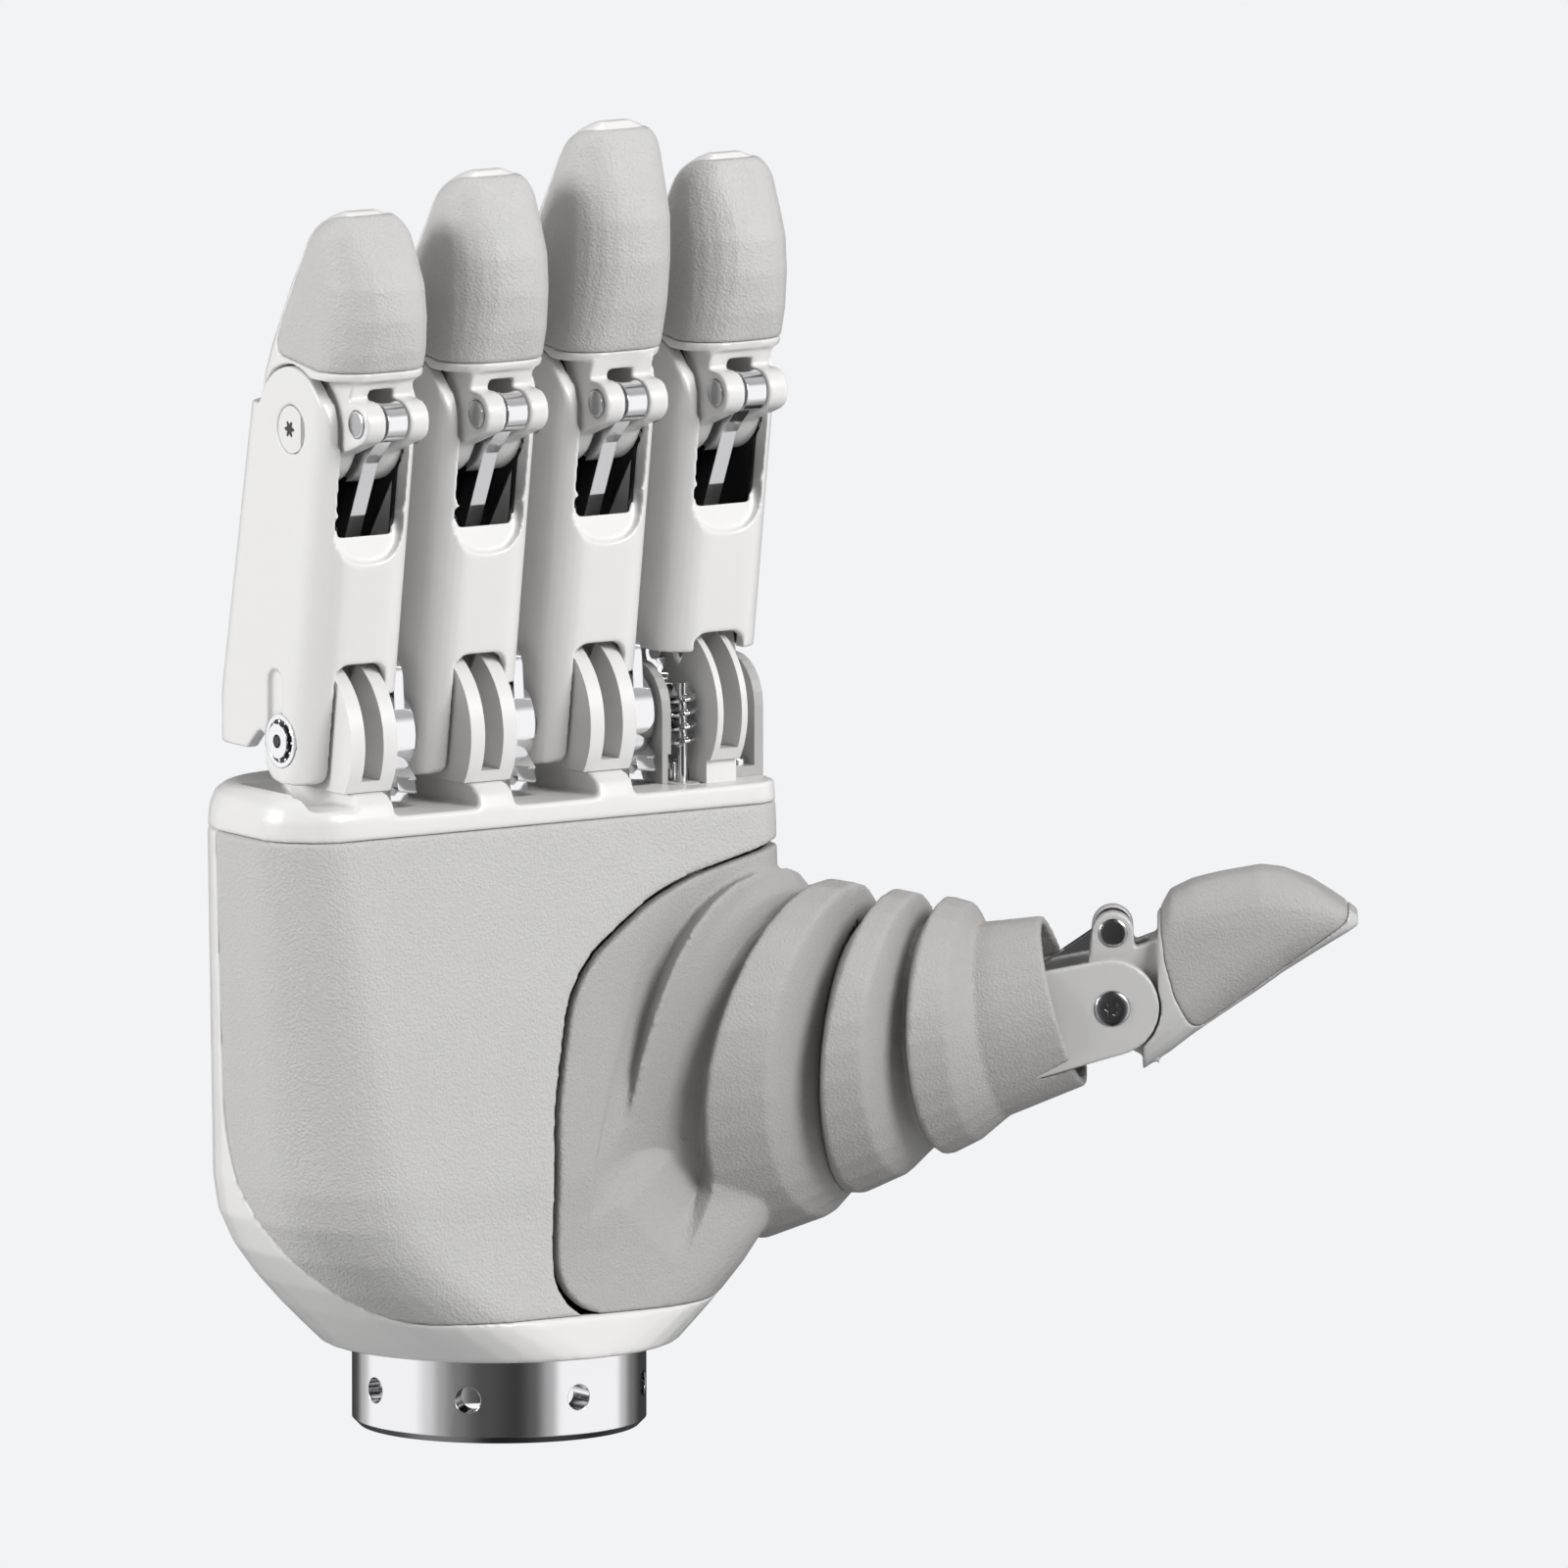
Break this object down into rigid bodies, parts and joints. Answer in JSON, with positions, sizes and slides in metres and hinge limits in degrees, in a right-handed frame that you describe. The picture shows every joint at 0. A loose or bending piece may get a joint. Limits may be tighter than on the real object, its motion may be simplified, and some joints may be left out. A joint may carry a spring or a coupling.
{
  "type": "dexterous robot hand",
  "caption": "Right robot hand with worm-driven linkage fingers, grey finger pads and palm skin, and a thumb that turns and bends inside a rubber boot, on a round wrist flange.",
  "frame": {"origin": "centre of the wrist flange's mounting face", "axes": "+Z along the fingers, the palm faces -Y, the thumb is on the +X side"},
  "size_m": [0.1846, 0.1041, 0.2238],
  "materials": {
    "white_shell": "moulded semi-gloss",
    "grey_skin": "fine grained",
    "boot_rubber": "matte",
    "steel": "polished",
    "machined": "fine turned",
    "bracket_grey": "satin",
    "dark_plastic": "matte",
    "motor_steel": "brushed",
    "board": "satin",
    "bush_plastic": "matte"
  },
  "bodies": {
    "palm": {"wrist_flange": "machined", "wrist_connector": "dark_plastic", "back_shell": "white_shell", "palm_cover": "grey_skin", "knuckle_plate": "white_shell", "palm_chassis": "machined", "control_board": "board", "finger_motors": "motor_steel", "worm_bushes": "bush_plastic", "fork_blocks": "white_shell", "index_bracket": "bracket_grey", "knuckle_shafts": "steel", "boot_root": "boot_rubber", "thumb_turn_motor": "motor_steel"},
    "index_proximal": {"index_phalanx": "white_shell", "index_gear": "steel", "index_joint_pin": "white_shell"},
    "index_distal": {"index_tip_frame": "white_shell", "index_pad": "grey_skin", "index_cross_pin": "steel"},
    "index_link": {"index_link": "steel"},
    "index_worm": {"index_worm": "steel"},
    "middle_proximal": {"middle_phalanx": "white_shell", "middle_gear": "steel", "middle_joint_pin": "white_shell", "middle_bearing": "steel"},
    "middle_distal": {"middle_tip_frame": "white_shell", "middle_pad": "grey_skin", "middle_cross_pin": "steel"},
    "middle_link": {"middle_link": "steel"},
    "middle_worm": {"middle_worm": "steel"},
    "ring_proximal": {"ring_phalanx": "white_shell", "ring_gear": "steel", "ring_joint_pin": "white_shell", "ring_bearing": "steel"},
    "ring_distal": {"ring_tip_frame": "white_shell", "ring_pad": "grey_skin", "ring_cross_pin": "steel"},
    "ring_link": {"ring_link": "steel"},
    "ring_worm": {"ring_worm": "steel"},
    "little_proximal": {"little_phalanx": "white_shell", "little_gear": "steel", "little_joint_pin": "white_shell", "little_bearing": "steel"},
    "little_distal": {"little_tip_frame": "white_shell", "little_pad": "grey_skin", "little_cross_pin": "steel"},
    "little_link": {"little_link": "steel"},
    "little_worm": {"little_worm": "steel"},
    "thumb_carrier": {"thumb_axle": "steel", "thumb_base": "bracket_grey", "thumb_bend_motor": "motor_steel", "bend_pin": "steel"},
    "thumb_proximal": {"thumb_phalanx": "white_shell", "thumb_tip_screw": "steel", "boot_tip": "boot_rubber"},
    "thumb_distal": {"thumb_tip_frame": "white_shell", "thumb_pad": "grey_skin", "thumb_cross_pin": "steel"},
    "thumb_link": {"thumb_link": "steel"}
  },
  "joints": [
    {"name": "index_knuckle", "type": "hinge", "parent": "palm", "child": "index_proximal", "pos_m": [0.036, -0.0028, 0.1206], "axis": [1, 0, 0], "range_deg": [0, 75]},
    {"name": "index_middle_joint", "type": "hinge", "parent": "index_proximal", "child": "index_distal", "pos_m": [0.036, -0.0065, 0.1741], "axis": [1, 0, 0], "range_deg": [0, 52.5]},
    {"name": "index_link_pivot", "type": "hinge", "parent": "index_distal", "child": "index_link", "pos_m": [0.036, -0.0216, 0.1764], "axis": [1, 0, 0], "range_deg": [-49.73, 0]},
    {"name": "index_worm_turn", "type": "hinge", "parent": "palm", "child": "index_worm", "pos_m": [0.03027, -0.0105, 0.118], "axis": [0, 0, 1], "range_deg": [0, 1200]},
    {"name": "middle_knuckle", "type": "hinge", "parent": "palm", "child": "middle_proximal", "pos_m": [0.012, -0.0028, 0.1206], "axis": [1, 0, 0], "range_deg": [0, 75]},
    {"name": "middle_middle_joint", "type": "hinge", "parent": "middle_proximal", "child": "middle_distal", "pos_m": [0.012, -0.0065, 0.1741], "axis": [1, 0, 0], "range_deg": [0, 52.5]},
    {"name": "middle_link_pivot", "type": "hinge", "parent": "middle_distal", "child": "middle_link", "pos_m": [0.012, -0.0216, 0.1764], "axis": [1, 0, 0], "range_deg": [-49.73, 0]},
    {"name": "middle_worm_turn", "type": "hinge", "parent": "palm", "child": "middle_worm", "pos_m": [0.022, 0.0116, 0.118], "axis": [0, 0, 1], "range_deg": [-1800, 0]},
    {"name": "ring_knuckle", "type": "hinge", "parent": "palm", "child": "ring_proximal", "pos_m": [-0.012, -0.0028, 0.1206], "axis": [1, 0, 0], "range_deg": [0, 75]},
    {"name": "ring_middle_joint", "type": "hinge", "parent": "ring_proximal", "child": "ring_distal", "pos_m": [-0.012, -0.0065, 0.1741], "axis": [1, 0, 0], "range_deg": [0, 52.5]},
    {"name": "ring_link_pivot", "type": "hinge", "parent": "ring_distal", "child": "ring_link", "pos_m": [-0.012, -0.0216, 0.1764], "axis": [1, 0, 0], "range_deg": [-49.73, 0]},
    {"name": "ring_worm_turn", "type": "hinge", "parent": "palm", "child": "ring_worm", "pos_m": [-0.002, 0.0116, 0.118], "axis": [0, 0, 1], "range_deg": [-1800, 0]},
    {"name": "little_knuckle", "type": "hinge", "parent": "palm", "child": "little_proximal", "pos_m": [-0.036, -0.0028, 0.1206], "axis": [1, 0, 0], "range_deg": [0, 75]},
    {"name": "little_middle_joint", "type": "hinge", "parent": "little_proximal", "child": "little_distal", "pos_m": [-0.036, -0.0065, 0.1741], "axis": [1, 0, 0], "range_deg": [0, 52.5]},
    {"name": "little_link_pivot", "type": "hinge", "parent": "little_distal", "child": "little_link", "pos_m": [-0.036, -0.0216, 0.1764], "axis": [1, 0, 0], "range_deg": [-49.73, 0]},
    {"name": "little_worm_turn", "type": "hinge", "parent": "palm", "child": "little_worm", "pos_m": [-0.026, 0.0116, 0.118], "axis": [0, 0, 1], "range_deg": [-1800, 0]},
    {"name": "thumb_turn", "type": "hinge", "parent": "palm", "child": "thumb_carrier", "pos_m": [0.0334, -0.0074, 0.06], "axis": [0, 0, 1], "range_deg": [-75, 0], "deforming": ["boot_root"]},
    {"name": "thumb_bend", "type": "hinge", "parent": "thumb_carrier", "child": "thumb_proximal", "pos_m": [0.05353, -0.02047, 0.06], "axis": [-0.5446, -0.8387, 0], "range_deg": [0, 35], "deforming": ["boot_tip"]},
    {"name": "thumb_tip_joint", "type": "hinge", "parent": "thumb_proximal", "child": "thumb_distal", "pos_m": [0.09353, -0.04645, 0.0705], "axis": [-0.5446, -0.8387, 0], "range_deg": [0, 28]},
    {"name": "thumb_link_pivot", "type": "hinge", "parent": "thumb_distal", "child": "thumb_link", "pos_m": [0.09387, -0.04667, 0.0829], "axis": [-0.5446, -0.8387, 0], "range_deg": [-24.25, 0]}
  ],
  "couplings": [
    {"joint": "index_middle_joint", "follows": "index_knuckle", "ratio": 0.7},
    {"joint": "index_link_pivot", "follows": "index_knuckle", "ratio": -0.663},
    {"joint": "index_worm_turn", "follows": "index_knuckle", "ratio": 16},
    {"joint": "middle_middle_joint", "follows": "middle_knuckle", "ratio": 0.7},
    {"joint": "middle_link_pivot", "follows": "middle_knuckle", "ratio": -0.663},
    {"joint": "middle_worm_turn", "follows": "middle_knuckle", "ratio": -24},
    {"joint": "ring_middle_joint", "follows": "ring_knuckle", "ratio": 0.7},
    {"joint": "ring_link_pivot", "follows": "ring_knuckle", "ratio": -0.663},
    {"joint": "ring_worm_turn", "follows": "ring_knuckle", "ratio": -24},
    {"joint": "little_middle_joint", "follows": "little_knuckle", "ratio": 0.7},
    {"joint": "little_link_pivot", "follows": "little_knuckle", "ratio": -0.663},
    {"joint": "little_worm_turn", "follows": "little_knuckle", "ratio": -24},
    {"joint": "thumb_tip_joint", "follows": "thumb_bend", "ratio": 0.8},
    {"joint": "thumb_link_pivot", "follows": "thumb_bend", "ratio": -0.693}
  ]
}
